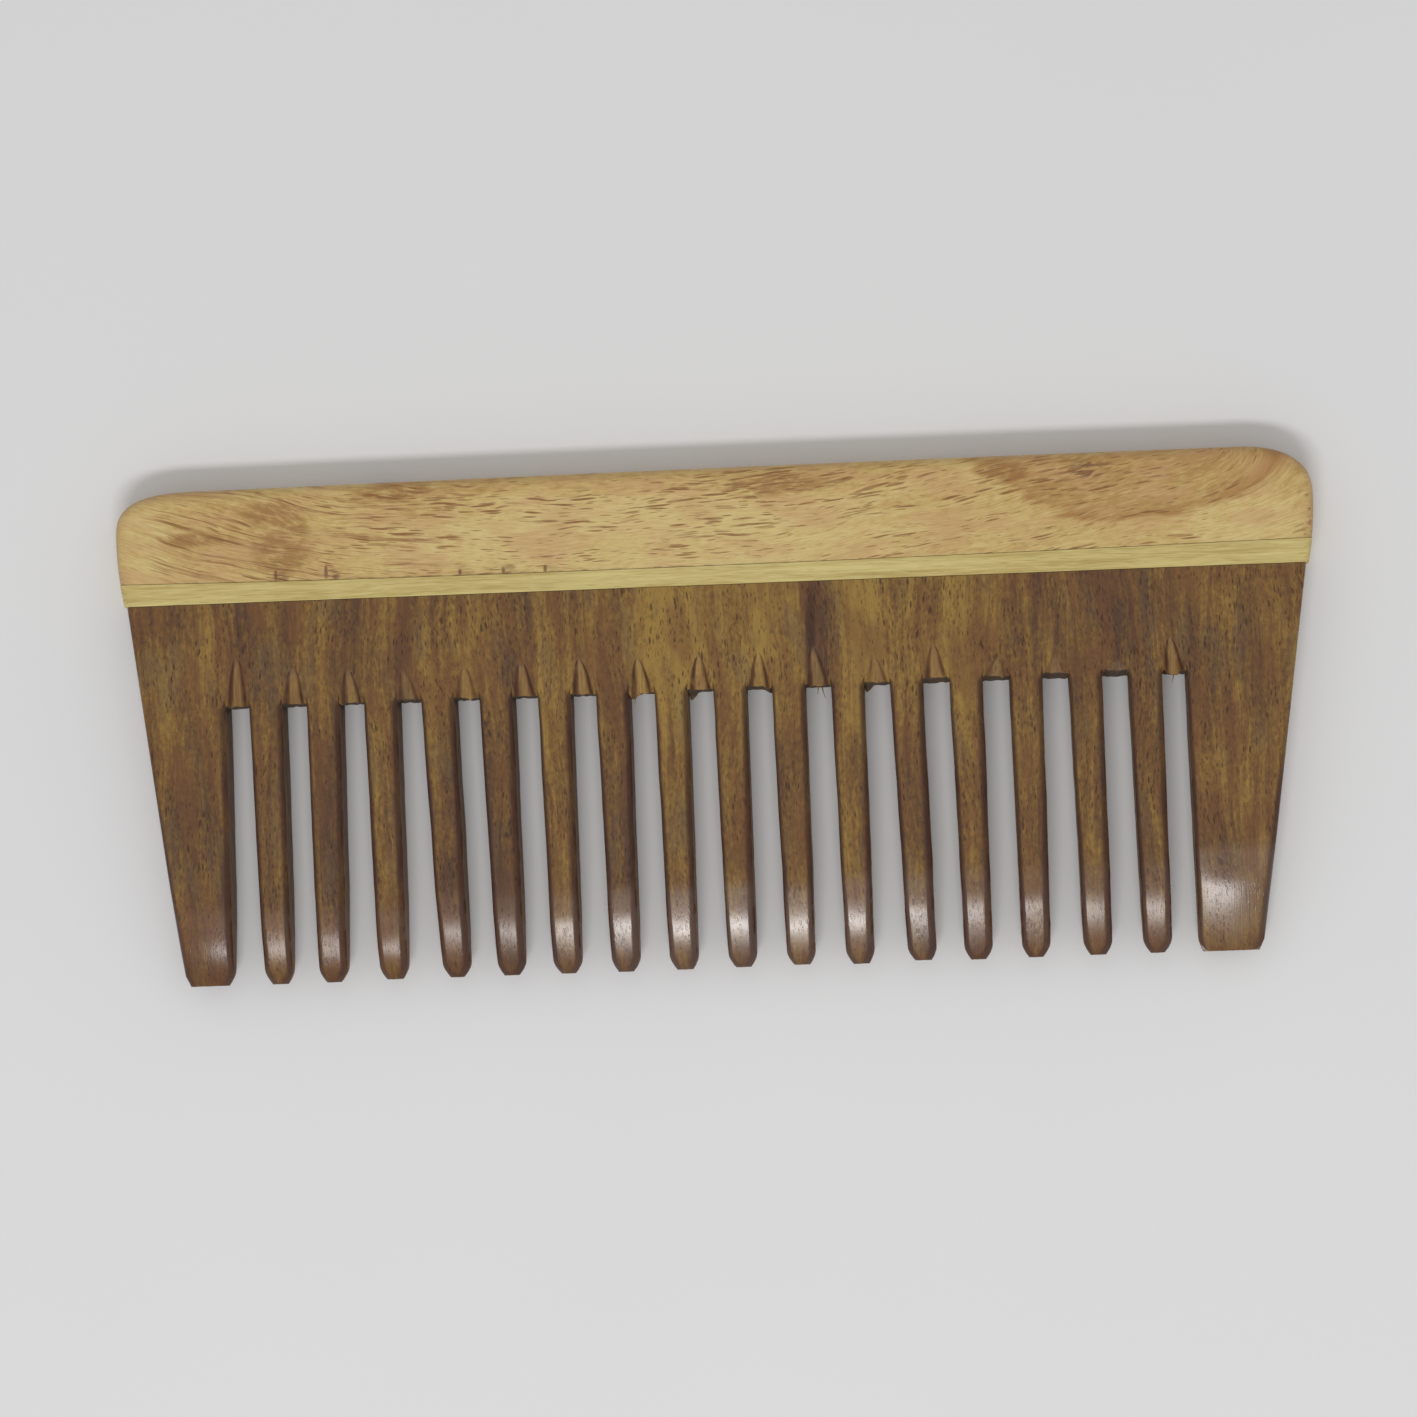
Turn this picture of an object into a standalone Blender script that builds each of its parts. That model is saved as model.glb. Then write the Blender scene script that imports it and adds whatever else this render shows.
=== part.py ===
"""Wide tooth comb, hand made from three layers of wood glued edge to edge.

The comb lies flat on its back face: X runs along its length, +Y points to the
back of the comb, -Y to the tips of the teeth, and Z is up through its
thickness. The origin is under the middle of its outline, at the level of the
surface it lies on.

  spine        the light wood back that the hand holds
  pale_strip   a thin strip of pale wood between the back and the teeth
  tooth_blade  the dark wood blade, sawn into sixteen teeth and two wide
               guard teeth, one at each end
"""

import math

import bmesh
import bpy
from mathutils import Matrix, Vector

MM = 0.001

# Overall size, in millimetres. "up" is measured from the tips towards the back.
LENGTH = 151.6
HEIGHT = 63.4
THICKNESS = 7.0

# The three layers, and the gap that stands for each glue line
BLADE_TOP = 48.45
STRIP_NARROWEST = 2.4
STRIP_NARROWEST_X = -22.0
STRIP_LEFT_END = 2.85
STRIP_RIGHT_END = 3.1
GLUE_GAP = 0.3

# The outline of the back: bowed ends, and a top edge that drops to the left
WIDEST_UP = 56.9
END_BOW = 0.012
TOP_DROP = 0.5
TOP_DROP_FROM = 50.0
TOP_DROP_SPAN = 114.0
LEFT_CORNER = (11.3, 6.0, 3.0)  # reach along, reach up, exponent of the curve
RIGHT_CORNER = (10.0, 6.5, 2.5)
CORNER_STEPS = 8
TOP_STEPS = 10
SLICE_STEPS = 12

# The outline of the blade: half widths at the tips, and how its ends splay out
BLADE_LEFT_FOOT = 68.8
BLADE_LEFT_SPLAY = 0.119
BLADE_RIGHT_FOOT = 67.44
BLADE_RIGHT_SPLAY = 0.147
GUARD_TOE = (0.5, 1.4)  # chamfer at the outer corner of a guard tooth, along and up

# How far the long edges are rounded over
SPINE_ROUND = 1.6
STRIP_ROUND = 1.2
BLADE_ROUND = 0.8

# The teeth. Their spacing opens slightly from left to right.
TEETH = 16
FIRST_TOOTH_X = -57.28
PITCH = 7.288
PITCH_GROWTH = 0.0084
ROOT_UP = 35.2
PITCH_LINE_UP = 31.5  # the height at which the spacing is measured
TOOTH_AT_ROOT = 4.14
TOOTH_AT_TIP = 3.53
TOOTH_LEAN = 0.6  # degrees, the tips towards +X
ODD_LEANS = {1: 0.0, 3: 1.8, 4: 1.1, 11: 1.3, 13: 0.2}  # teeth where the saw wandered
LEFT_GUARD_INNER = -62.46
LEFT_GUARD_LEAN = -0.4
RIGHT_GUARD_INNER = 59.09
RIGHT_GUARD_LEAN = 0.6

# Chamfers of the teeth: along their long edges, and at the corners of the tips
EDGE_AT_ROOT = 0.25
EDGE_AT_TIP = 0.75
EDGE_GROWS_BELOW = 29.0
TIP_CHAMFER = (0.7, 1.3)  # along and up

# How the blade thins towards the tips: (height above the tips, half thickness)
THINNING = (
    (14.0, 3.50), (12.0, 3.46), (10.0, 3.34), (8.0, 3.10), (6.0, 2.72),
    (4.5, 2.33), (3.0, 1.86), (1.3, 1.28), (0.0, 0.80),
)

# The tapered nick that the file leaves above each slot, on both faces
NICK_LENGTH = 4.8
NICK_DEPTH = 0.8


def new_collection(name):
    collection = bpy.data.collections.new(name)
    bpy.context.scene.collection.children.link(collection)
    return collection


def move_to(obj, collection):
    for old in list(obj.users_collection):
        old.objects.unlink(obj)
    collection.objects.link(obj)


def as_cutter(obj):
    move_to(obj, CUTTERS)
    obj.hide_render = True
    obj.display_type = "WIRE"
    return obj


def wood(name, colour, roughness):
    """A plain wood: linear base colour, roughness, no metal."""
    material = bpy.data.materials.new(name)
    material.use_nodes = True
    shader = material.node_tree.nodes["Principled BSDF"]
    shader.inputs["Base Color"].default_value = (*colour, 1.0)
    shader.inputs["Roughness"].default_value = roughness
    shader.inputs["Metallic"].default_value = 0.0
    material.diffuse_color = (*colour, 1.0)
    return material


def at(x, up, z=0.0):
    """A point given in millimetres along, up from the tips, and from the middle of the thickness."""
    return Vector((x * MM, (up - HEIGHT / 2) * MM, (z + THICKNESS / 2) * MM))


def mesh_from_curve(curve_obj):
    """Turns a filled curve into a closed mesh object, with whole caps welded to its sides."""
    depsgraph = bpy.context.evaluated_depsgraph_get()
    mesh = bpy.data.meshes.new_from_object(curve_obj.evaluated_get(depsgraph))
    work = bmesh.new()
    work.from_mesh(mesh)
    bmesh.ops.remove_doubles(work, verts=work.verts, dist=0.000001)
    # Each cap becomes one face again, so that a bevel has no inner edges to slide along
    bmesh.ops.dissolve_limit(work, angle_limit=0.002, verts=work.verts, edges=work.edges)
    work.to_mesh(mesh)
    work.free()
    name = curve_obj.name
    placing = curve_obj.matrix_world.copy()
    curve = curve_obj.data
    bpy.data.objects.remove(curve_obj)
    bpy.data.curves.remove(curve)
    obj = bpy.data.objects.new(name, mesh)
    obj.matrix_world = placing
    bpy.context.scene.collection.objects.link(obj)
    return obj


def flat_plate(name, points, half_depth, placing):
    """A flat outline filled and extruded to both sides of its own plane."""
    curve = bpy.data.curves.new(name, "CURVE")
    curve.dimensions = "2D"
    curve.fill_mode = "BOTH"
    curve.extrude = half_depth
    spline = curve.splines.new("POLY")
    spline.points.add(len(points) - 1)
    for point, (u, v) in zip(spline.points, points):
        point.co = (u, v, 0.0, 1.0)
    spline.use_cyclic_u = True
    obj = bpy.data.objects.new(name, curve)
    obj.matrix_world = placing
    bpy.context.scene.collection.objects.link(obj)
    bpy.context.view_layer.update()
    return mesh_from_curve(obj)


def round_over(obj, radius, segments=3):
    """Rounds the sharp rim of a plate; the shallow bends of its outline stay as they are.

    The outline's corners are wider than the radius, so the overlap clamp, which would
    shrink it to the shortest step of the outline, is off.
    """
    modifier = obj.modifiers.new("rounded edges", "BEVEL")
    modifier.width = radius * MM
    modifier.segments = segments
    modifier.limit_method = "ANGLE"
    modifier.angle_limit = math.radians(60)
    modifier.use_clamp_overlap = False


def cut(obj, cutter, operation="DIFFERENCE"):
    modifier = obj.modifiers.new(cutter.name, "BOOLEAN")
    modifier.operation = operation
    modifier.solver = "EXACT"
    if isinstance(cutter, bpy.types.Collection):
        modifier.operand_type = "COLLECTION"
        modifier.collection = cutter
    else:
        modifier.object = cutter


def strip_top(x):
    """Height of the joint between the strip and the back: the strip is thinnest left of middle."""
    end_x, end = (-LENGTH / 2, STRIP_LEFT_END) if x < STRIP_NARROWEST_X else (LENGTH / 2, STRIP_RIGHT_END)
    run = (x - STRIP_NARROWEST_X) / (end_x - STRIP_NARROWEST_X)
    return BLADE_TOP + STRIP_NARROWEST + (end - STRIP_NARROWEST) * run * run


def layer_slice(name, low_line, high_line):
    """The slice of the comb that one layer of wood fills, between two lines along the comb."""
    reach = LENGTH / 2 + 4
    xs = [-reach + 2 * reach * step / SLICE_STEPS for step in range(SLICE_STEPS + 1)]
    outline = [(x, low_line(x)) for x in xs] + [(x, high_line(x)) for x in reversed(xs)]
    placing = Matrix.Translation((0.0, 0.0, THICKNESS / 2 * MM))
    return as_cutter(flat_plate(name, plan(outline), (THICKNESS / 2 + 3) * MM, placing))


def top_edge(x):
    """Height of the back's top edge, a little lower at the left."""
    run = min(0.0, x - TOP_DROP_FROM) / TOP_DROP_SPAN
    return HEIGHT - TOP_DROP * run * run


def end_of_back(up):
    """Half length of the back at a height below its corners."""
    return LENGTH / 2 - END_BOW * (WIDEST_UP - up) ** 2


def corner(side, reach):
    """A rounded corner, from the end of the back up to its top edge."""
    along, rise, power = reach
    points = []
    for step in range(CORNER_STEPS + 1):
        angle = math.pi / 2 * step / CORNER_STEPS
        out = math.cos(angle) ** (2 / power)
        over = math.sin(angle) ** (2 / power)
        points.append((side * (LENGTH / 2 - along * (1 - out)), WIDEST_UP + rise * over))
    return points


def back_outline():
    """The outline of the back and the strip, run on below them where the blade takes over."""
    ups = [BLADE_TOP - 6, BLADE_TOP, BLADE_TOP + 3, BLADE_TOP + 5.5]
    right = [(end_of_back(up), up) for up in ups] + corner(1, RIGHT_CORNER)
    left = [(-end_of_back(up), up) for up in ups] + corner(-1, LEFT_CORNER)
    start, stop = right[-1][0], left[-1][0]
    top = []
    for step in range(1, TOP_STEPS):
        x = start + (stop - start) * step / TOP_STEPS
        top.append((x, top_edge(x)))
    return right + top + left[::-1]


def blade_outline():
    """The outline of the blade before the slots are sawn, run on above its top edge."""
    high = BLADE_TOP + 6
    toe, toe_up = GUARD_TOE

    def left(up):
        return -BLADE_LEFT_FOOT - BLADE_LEFT_SPLAY * up

    def right(up):
        return BLADE_RIGHT_FOOT + BLADE_RIGHT_SPLAY * up

    return [
        (left(0) + toe, 0.0), (right(0) - toe, 0.0), (right(toe_up), toe_up),
        (right(high), high), (left(high), high), (left(toe_up), toe_up),
    ]


def plan(points):
    """Outline points in millimetres as curve points about the middle of the comb."""
    return [(x * MM, (up - HEIGHT / 2) * MM) for x, up in points]


def layer(name, outline, radius, material):
    """One layer: a rounded plate with the shape of the outline."""
    placing = Matrix.Translation((0.0, 0.0, THICKNESS / 2 * MM))
    obj = flat_plate(name, plan(outline), THICKNESS / 2 * MM, placing)
    round_over(obj, radius)
    obj.data.materials.clear()
    obj.data.materials.append(material)
    move_to(obj, COMB)
    return obj


def half_thickness(up):
    """Half the blade's thickness at a height above the tips."""
    if up >= THINNING[0][0]:
        return THINNING[0][1]
    for (high, thick), (low, thin) in zip(THINNING, THINNING[1:]):
        if up >= low:
            return thin + (thick - thin) * (up - low) / (high - low)
    (high, thick), (low, thin) = THINNING[-2:]
    return thin - (thick - thin) * (low - up) / (high - low)


def blade_profile():
    """The blade's side view, with the thinned tips, drawn through its whole length."""
    top = BLADE_TOP - GLUE_GAP / 2
    front = [(top, THICKNESS / 2 + 2), (THINNING[0][0] + 4, THICKNESS / 2 + 2)]
    front += [(THINNING[0][0], THICKNESS / 2 + 0.02)]
    front += list(THINNING[1:])
    points = front + [(up, -z) for up, z in reversed(front)]
    # The curve's own x and y become the comb's Y and Z
    placing = Matrix(((0, 0, 1, 0), (1, 0, 0, 0), (0, 1, 0, THICKNESS / 2 * MM), (0, 0, 0, 1)))
    outline = [((up - HEIGHT / 2) * MM, z * MM) for up, z in points]
    return as_cutter(flat_plate("blade_profile", outline, (LENGTH / 2 + 5) * MM, placing))


def lean_shift(lean, up):
    """How far a leaning edge has moved along at a height, from where the spacing is measured."""
    return math.tan(math.radians(lean)) * (PITCH_LINE_UP - up)


def tooth_width(up):
    return TOOTH_AT_TIP + (TOOTH_AT_ROOT - TOOTH_AT_TIP) * up / ROOT_UP


def tooth_side(index, side, up):
    """X of the left (-1) or right (+1) side of a tooth; -1 and TEETH are the guard teeth."""
    if index < 0:
        return LEFT_GUARD_INNER + lean_shift(LEFT_GUARD_LEAN, up)
    if index >= TEETH:
        return RIGHT_GUARD_INNER + lean_shift(RIGHT_GUARD_LEAN, up)
    middle = FIRST_TOOTH_X + PITCH * index + PITCH_GROWTH * index * index
    lean = ODD_LEANS.get(index, TOOTH_LEAN)
    return middle + lean_shift(lean, up) + side * tooth_width(up) / 2


def edge_chamfer(up):
    """Width of the chamfer along a tooth's long edges."""
    share = min(1.0, max(0.0, (EDGE_GROWS_BELOW - up) / EDGE_GROWS_BELOW))
    return EDGE_AT_ROOT + (EDGE_AT_TIP - EDGE_AT_ROOT) * share


def slot_section(slot, up):
    """The waisted section of the saw and file that shape one slot, at one height."""
    chamfer_x, chamfer_up = TIP_CHAMFER
    flare = chamfer_x * max(0.0, 1 - up / chamfer_up)
    left = tooth_side(slot - 1, 1, up) - flare
    right = tooth_side(slot, -1, up) + flare
    thick = half_thickness(up)
    edge = min(edge_chamfer(up), thick * 0.6)
    beyond = 0.6
    wide, tall, waist = edge + beyond, thick + beyond, thick - edge
    return [
        at(left - wide, up, tall), at(left, up, waist), at(left, up, -waist),
        at(left - wide, up, -tall), at(right + wide, up, -tall), at(right, up, -waist),
        at(right, up, waist), at(right + wide, up, tall),
    ]


def slot_cutter(slot):
    """A loft through the slot's sections, from the root to beyond the tips."""
    ups = [ROOT_UP, EDGE_GROWS_BELOW] + [up for up, _ in THINNING] + [-1.0]
    work = bmesh.new()
    rings = [[work.verts.new(p) for p in slot_section(slot, up)] for up in ups]
    for ring, following in zip(rings, rings[1:]):
        for i in range(len(ring)):
            j = (i + 1) % len(ring)
            work.faces.new((ring[i], ring[j], following[j], following[i]))
    work.faces.new(rings[0][::-1])
    work.faces.new(rings[-1])
    bmesh.ops.recalc_face_normals(work, faces=work.faces)
    mesh = bpy.data.meshes.new(f"slot_{slot:02d}")
    work.to_mesh(mesh)
    work.free()
    obj = bpy.data.objects.new(mesh.name, mesh)
    bpy.context.scene.collection.objects.link(obj)
    return obj


def nick_cutter(slot, face):
    """A four-sided point lying on one face, its base inside the slot and its tip above the root."""
    foot = ROOT_UP - 0.3
    left, right = tooth_side(slot - 1, 1, foot), tooth_side(slot, -1, foot)
    half = (right - left) / 2 * 0.94
    length = NICK_LENGTH + 0.3
    work = bmesh.new()
    bmesh.ops.create_cone(work, cap_ends=True, segments=4, radius1=1.0, radius2=0.0, depth=1.0)
    # The cone stands on +Z; its corners are on its own axes. Its point is laid down towards +Y.
    shape = Matrix.Diagonal((half * MM, NICK_DEPTH * MM, length * MM, 1.0))
    lay = Matrix.Rotation(math.radians(-90), 4, "X")
    bmesh.ops.transform(work, matrix=lay @ shape, verts=work.verts)
    mesh = bpy.data.meshes.new(f"nick_{slot:02d}_{'front' if face > 0 else 'back'}")
    work.to_mesh(mesh)
    work.free()
    obj = bpy.data.objects.new(mesh.name, mesh)
    obj.location = at((left + right) / 2, foot + length / 2, face * THICKNESS / 2)
    bpy.context.scene.collection.objects.link(obj)
    return obj


def cutter_group(name, cutters):
    group = bpy.data.collections.new(name)
    CUTTERS.children.link(group)
    for obj in cutters:
        as_cutter(obj)
        move_to(obj, group)
    return group


def build_spine():
    light = wood("spine_wood", (0.52, 0.37, 0.17), 0.42)
    spine = layer("spine", back_outline(), SPINE_ROUND, light)
    own = layer_slice("spine_slice", lambda x: strip_top(x) + GLUE_GAP / 2, lambda x: HEIGHT + 5)
    cut(spine, own, "INTERSECT")


def build_strip():
    pale = wood("strip_wood", (0.60, 0.49, 0.22), 0.42)
    strip = layer("pale_strip", back_outline(), STRIP_ROUND, pale)
    low = BLADE_TOP + GLUE_GAP / 2
    own = layer_slice("strip_slice", lambda x: low, lambda x: strip_top(x) - GLUE_GAP / 2)
    cut(strip, own, "INTERSECT")


def build_blade():
    dark = wood("blade_wood", (0.19, 0.105, 0.045), 0.34)
    blade = layer("tooth_blade", blade_outline(), BLADE_ROUND, dark)
    cut(blade, blade_profile(), "INTERSECT")
    slots = range(TEETH + 1)
    cut(blade, cutter_group("slots", [slot_cutter(slot) for slot in slots]))
    nicks = [nick_cutter(slot, face) for slot in slots for face in (1, -1)]
    cut(blade, cutter_group("nicks", nicks))


for existing in list(bpy.data.objects):
    bpy.data.objects.remove(existing, do_unlink=True)

COMB = new_collection("wide_tooth_comb")
CUTTERS = new_collection("cutters")

build_spine()
build_strip()
build_blade()
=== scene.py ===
"""Looks for the wide tooth comb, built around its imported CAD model.

The comb is three layers of wood glued edge to edge. Each CAD node is replaced by a finer
mesh of the same size: the back with its rounded rim, the pale strip, and the blade with
its filed teeth, its tapered file marks above the slots and its torn fibres.

Lengths in this script are millimetres: "x" runs along the comb, "up" is measured from the
tips of the teeth towards the back, and "z" from the middle of the comb's thickness.
"""

import math

import bpy
import numpy as np
from mathutils import Matrix, Vector


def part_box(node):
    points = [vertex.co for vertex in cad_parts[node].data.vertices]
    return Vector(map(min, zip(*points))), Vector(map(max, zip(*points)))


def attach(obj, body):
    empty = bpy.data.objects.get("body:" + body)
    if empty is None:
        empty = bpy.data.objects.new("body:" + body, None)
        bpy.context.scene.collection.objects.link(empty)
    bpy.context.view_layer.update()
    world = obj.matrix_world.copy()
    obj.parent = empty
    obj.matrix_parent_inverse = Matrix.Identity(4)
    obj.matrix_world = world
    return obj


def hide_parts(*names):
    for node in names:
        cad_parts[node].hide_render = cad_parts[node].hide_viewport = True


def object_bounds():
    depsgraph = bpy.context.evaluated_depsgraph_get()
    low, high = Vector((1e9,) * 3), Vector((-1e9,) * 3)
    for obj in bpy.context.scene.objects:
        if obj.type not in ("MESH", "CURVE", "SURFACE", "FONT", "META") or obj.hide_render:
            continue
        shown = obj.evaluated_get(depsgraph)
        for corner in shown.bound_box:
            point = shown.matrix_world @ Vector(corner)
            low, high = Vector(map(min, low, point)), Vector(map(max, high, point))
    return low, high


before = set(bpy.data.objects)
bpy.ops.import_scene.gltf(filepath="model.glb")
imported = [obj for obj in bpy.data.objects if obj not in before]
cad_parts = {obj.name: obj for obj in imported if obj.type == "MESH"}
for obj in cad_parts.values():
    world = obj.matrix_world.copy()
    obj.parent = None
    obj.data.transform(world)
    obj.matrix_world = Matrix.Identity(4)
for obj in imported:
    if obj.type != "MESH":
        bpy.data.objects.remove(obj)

MM = 0.001

CAD_LOW, CAD_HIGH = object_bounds()
BLADE_LOW, BLADE_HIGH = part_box("tooth_blade")
STRIP_LOW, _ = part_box("pale_strip")

TIPS_Y = BLADE_LOW.y
MIDDLE_Z = (CAD_LOW.z + CAD_HIGH.z) / 2
HALF_THICK = (CAD_HIGH.z - CAD_LOW.z) / 2 / MM
HALF_LENGTH = (CAD_HIGH.x - CAD_LOW.x) / 2 / MM
COMB_TOP = (CAD_HIGH.y - TIPS_Y) / MM
BLADE_JOINT = ((BLADE_HIGH.y + STRIP_LOW.y) / 2 - TIPS_Y) / MM

# Half of the fine dark line that shows at each glue joint
JOINT_LINE = 0.03

# The joint between the strip and the back, the same curve as in the CAD
STRIP_NARROWEST = 2.4
STRIP_NARROWEST_X = -22.0
STRIP_LEFT_END = 2.85
STRIP_RIGHT_END = 3.1

# The outline of the back
WIDEST_UP = 56.9
END_BOW = 0.012
TOP_DROP = 0.5
TOP_DROP_FROM = 50.0
TOP_DROP_SPAN = 114.0
LEFT_CORNER = (11.3, 6.0, 3.0)  # reach along, reach up, exponent of the curve
RIGHT_CORNER = (10.0, 6.5, 2.5)
SPINE_ROUND = 1.6
STRIP_ROUND = 1.2
BLADE_ROUND = 0.8

# The outline of the blade
BLADE_LEFT_FOOT = 68.8
BLADE_LEFT_SPLAY = 0.119
BLADE_RIGHT_FOOT = 67.44
BLADE_RIGHT_SPLAY = 0.147
GUARD_TOE = (0.5, 1.4)

# The teeth: bands of wood 0 to 17, of which the first and the last are the guard teeth
TEETH = 16
LAST = TEETH + 1
FIRST_TOOTH_X = -57.28
PITCH = 7.288
PITCH_GROWTH = 0.0084
PITCH_LINE_UP = 31.5
ROOT_UP = 35.2
TOOTH_AT_ROOT = 4.14
TOOTH_AT_TIP = 3.53
TOOTH_LEAN = 0.6
ODD_LEANS = {1: 0.0, 3: 1.8, 4: 1.1, 11: 1.3, 13: 0.2}
LEFT_GUARD_INNER = -62.46
LEFT_GUARD_LEAN = -0.4
RIGHT_GUARD_INNER = 59.09
RIGHT_GUARD_LEAN = 0.6
TIP_CHAMFER = (0.95, 1.9)
LEFT_EDGE = (0.28, 0.48)  # width of the filed edge at the root and at the tip
RIGHT_EDGE = (0.50, 0.66)
EDGE_GROWS_BELOW = 31.0

# The faces are filed thinner towards the tips. SHINE_UP is the height of each band's face
# where it reaches the slope that shines, and TIP_FALL is how far a face has come down at its tip
SHINE_SLOPE = 0.25
TIP_FALL = 2.8
GUARD_TIP_FALLS = (3.3, 2.4)  # front and back of the right guard tooth
SHINE_UP = (
    4.4, 4.3, 4.0, 3.9, 5.6, 5.2, 5.0, 5.3, 5.3, 5.5, 5.0, 5.8, 6.0, 6.5, 6.2, 6.4, 6.3, 7.9,
)

# The guard teeth are filed to a low crown near their tips
GUARD_CROWN = 0.022
GUARD_CROWN_X = (-64.6, 63.6)

# The tapered file mark above each slot: length, how far its point lies off the middle of
# the slot, depth at the slot, how blunt its point is, and how strongly its floor and sides are coloured,
# partly with painted light and shade
FILE_MARKS = (
    (6.3, 0.1, 0.70, 0.38, 0.9), (4.7, 0.0, 0.70, 0.36, 0.9), (4.2, -0.3, 0.70, 0.40, 0.9),
    (4.0, -0.5, 0.50, 0.45, 0.6), (4.0, -0.1, 0.60, 0.45, 0.8), (4.4, -0.3, 0.75, 0.42, 1.0),
    (4.5, -0.3, 0.75, 0.45, 1.0), (4.3, -0.3, 0.75, 0.45, 1.0), (4.4, 0.0, 0.80, 0.48, 1.0),
    (4.4, 0.1, 0.70, 0.48, 0.9), (5.0, -0.4, 0.80, 0.48, 1.0), (3.4, -0.2, 0.45, 0.55, 0.6),
    (4.6, -0.2, 0.65, 0.48, 0.8), (2.8, 0.3, 0.45, 0.55, 0.5), (2.6, 0.0, 0.40, 0.55, 0.4),
    (1.6, 0.0, 0.25, 0.60, 0.2), (4.4, -0.4, 0.85, 0.42, 1.0),
)

# How far each slot's end wall slants back towards the underside
ROOT_SLANT = (
    0.15, 0.2, 0.15, 0.25, 0.2, 0.15, 0.1, 0.05, 0.15, 0.3, 0.2, 0.25, 0.5, 0.45, 0.55, 0.6, 0.3,
)

# Torn fibres left at the slot ends: slot, place across it (-1 to 1), half width as a share
# of the slot, and how far they hang down
HANGING_FIBRES = (
    (0, -0.55, 0.12, 0.25), (2, -0.8, 0.2, 0.3), (4, 0.3, 0.1, 0.25), (7, -0.6, 0.38, 0.85),
    (7, 0.35, 0.15, 0.2), (9, 0.7, 0.25, 0.55), (10, 0.15, 0.12, 0.7), (10, -0.5, 0.2, 0.3),
    (13, 0.5, 0.15, 0.25), (16, -0.15, 0.2, 0.85), (16, 0.25, 0.14, 0.6), (16, -0.6, 0.14, 0.4),
)

# Chips left at the underside of a slot's end: slot, side, and how far each stands down
CORNER_CHIPS = ((8, -1, 1.1), (11, -1, 0.9), (9, 1, 0.5))

# Loose splinters: slot, place across it, length, sideways bend
SPLINTERS = (
    (10, 0.28, 1.7, 0.5), (10, 0.05, 1.1, -0.2), (16, 0.0, 1.3, -0.35), (7, -0.45, 1.5, -0.25),
)


# ---------------------------------------------------------------- shapes

def in_comb_frame(points):
    """Turns points of x, up and z in millimetres into metres in the CAD frame."""
    placed = np.array(points, float) * MM
    placed[:, 1] += TIPS_Y
    placed[:, 2] += MIDDLE_Z
    return placed


def ease(share):
    share = np.clip(share, 0.0, 1.0)
    return share * share * (3 - 2 * share)


BUMP_TABLE = (61, 67)  # bumps each way before they repeat


def bumps(x, y, seed):
    """Smooth random heights from -1 to 1, about one bump for each unit of x and of y."""
    table = np.random.default_rng(seed).uniform(-1, 1, BUMP_TABLE)
    x, y = np.broadcast_arrays(np.asarray(x, float), np.asarray(y, float))
    column, row = np.floor(x).astype(int), np.floor(y).astype(int)
    u, v = ease(x - column), ease(y - row)

    def pick(right, above):
        return table[(column + right) % BUMP_TABLE[0], (row + above) % BUMP_TABLE[1]]

    low = pick(0, 0) * (1 - u) + pick(1, 0) * u
    high = pick(0, 1) * (1 - u) + pick(1, 1) * u
    return low * (1 - v) + high * v


def quarter_round(distance, radius):
    """How far a face has dropped at a distance from an edge rounded to a radius."""
    inward = np.clip(radius - distance, 0.0, radius)
    return radius - np.sqrt(np.maximum(radius * radius - inward * inward, 0.0))


def filed_edge(distance, width):
    """How far a face has dropped at a distance from an edge filed to a soft chamfer."""
    share = distance / width
    return width * ((1 - share) + np.sqrt((1 - share) ** 2 + 0.01)) / 2


WALL_ROWS = (0.06, 0.3, 0.7, 0.94)  # shares of the way from front to back
SMOOTH_BELOW = math.radians(42)


def closed_mesh(name, front, back, quads, rim, proud, marks):
    """A closed mesh: two faces over the same quads, joined round the rim by rows of wall.

    proud is how far the middle of the wall bulges out. marks are the values that the
    materials read, by name: those at the front's points and those at the back's.
    """
    count = len(front)
    ahead, behind = np.roll(rim, -1), np.roll(rim, 1)
    along = front[ahead, :2] - front[behind, :2]
    along /= np.maximum(np.linalg.norm(along, axis=1), 1e-9)[:, None]
    outward = np.stack([along[:, 1], -along[:, 0], np.zeros(len(rim))], 1)
    points, rings = [front, back], [rim]
    saw = bumps(np.arange(len(rim)) * 0.9, 0.0, 5)
    for number, step in enumerate(WALL_ROWS):
        swell = proud * (1 - (2 * step - 1) ** 4) * (1 + 0.35 * saw)
        ring = front[rim] * (1 - step) + back[rim] * step + outward * swell[:, None]
        points.append(ring)
        rings.append(2 * count + number * len(rim) + np.arange(len(rim)))
    rings.append(rim + count)
    walls = [np.stack([a, b, np.roll(b, -1), np.roll(a, -1)], 1) for a, b in zip(rings, rings[1:])]
    faces = np.concatenate([quads, quads[:, ::-1] + count] + walls)
    mesh = bpy.data.meshes.new(name)
    mesh.from_pydata(in_comb_frame(np.concatenate(points)).tolist(), [], faces.tolist())
    mesh.update()
    mesh.shade_smooth()
    mesh.set_sharp_from_angle(angle=SMOOTH_BELOW)
    ring_points = len(rim) * len(WALL_ROWS)
    for mark, (front_values, back_values) in marks.items():
        values = np.concatenate([front_values, back_values, np.zeros(ring_points)])
        save_mark(mesh, mark, values)
    save_mark(mesh, "wall", np.concatenate([np.zeros(2 * count), np.ones(ring_points)]))
    return mesh


def save_mark(mesh, name, values):
    attribute = mesh.attributes.new(name, "FLOAT", "POINT")
    attribute.data.foreach_set("value", np.asarray(values, np.float32))


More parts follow.
